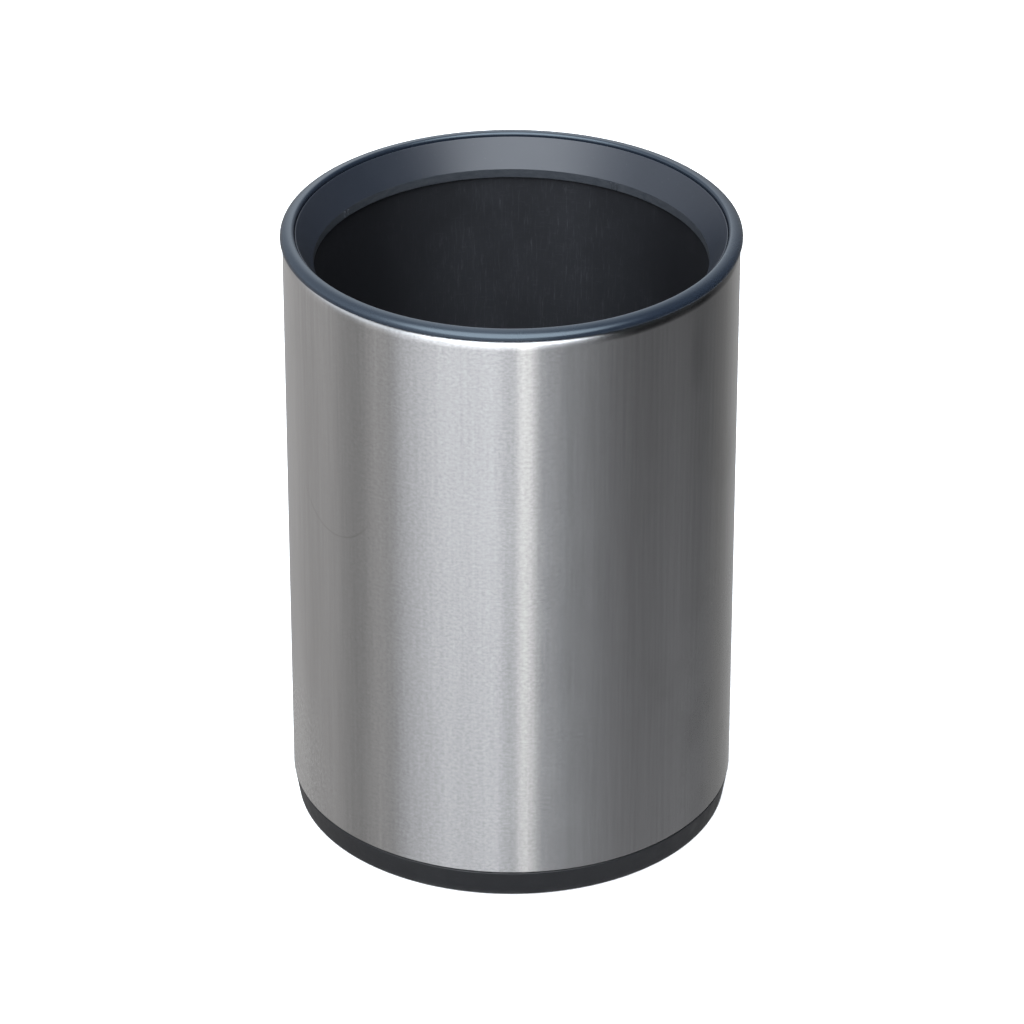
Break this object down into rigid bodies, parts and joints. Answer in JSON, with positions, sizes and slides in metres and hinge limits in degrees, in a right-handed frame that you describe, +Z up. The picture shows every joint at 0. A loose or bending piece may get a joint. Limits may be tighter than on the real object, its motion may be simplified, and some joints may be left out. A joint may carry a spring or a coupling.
{
  "type": "open-top wastebasket",
  "caption": "Round open-top office wastebasket: brushed steel tube, plastic trim ring and base ring, lift-out inner bucket and lift-off bag collar.",
  "frame": {"origin": "on the floor, at the middle of the base", "axes": "+Z up along the axis of the bin; +X and +Y are any two level directions, with the front at -Y"},
  "size_m": [0.25, 0.25, 0.3515],
  "materials": {
    "brushed_steel": "stainless steel, fine brushing round the tube",
    "plate_steel": "galvanised sheet, dull",
    "slate_plastic": "slate blue-grey plastic, satin",
    "collar_plastic": "slate blue-grey plastic, satin",
    "bucket_plastic": "black polypropylene, scuffed",
    "base_plastic": "black polypropylene, fine texture",
    "pad_rubber": "black rubber",
    "screw_steel": "zinc plated"
  },
  "bodies": {
    "bin_body": {"outer_shell": "brushed_steel", "bottom_plate": "plate_steel", "top_trim_ring": "slate_plastic", "base_ring": "base_plastic", "foot_pad_1": "pad_rubber", "foot_pad_2": "pad_rubber", "foot_pad_3": "pad_rubber", "foot_pad_4": "pad_rubber", "base_screw_1": "screw_steel", "base_screw_2": "screw_steel", "base_screw_3": "screw_steel", "base_screw_4": "screw_steel"},
    "bucket": {"inner_bucket": "bucket_plastic"},
    "collar": {"bag_collar": "collar_plastic"}
  },
  "joints": [
    {"name": "bucket_lift", "type": "slide", "parent": "bin_body", "child": "bucket", "axis": [0, 0, 1], "range_m": [0, 0.36]},
    {"name": "collar_lift", "type": "slide", "parent": "bucket", "child": "collar", "axis": [0, 0, 1], "range_m": [0, 0.06]}
  ]
}
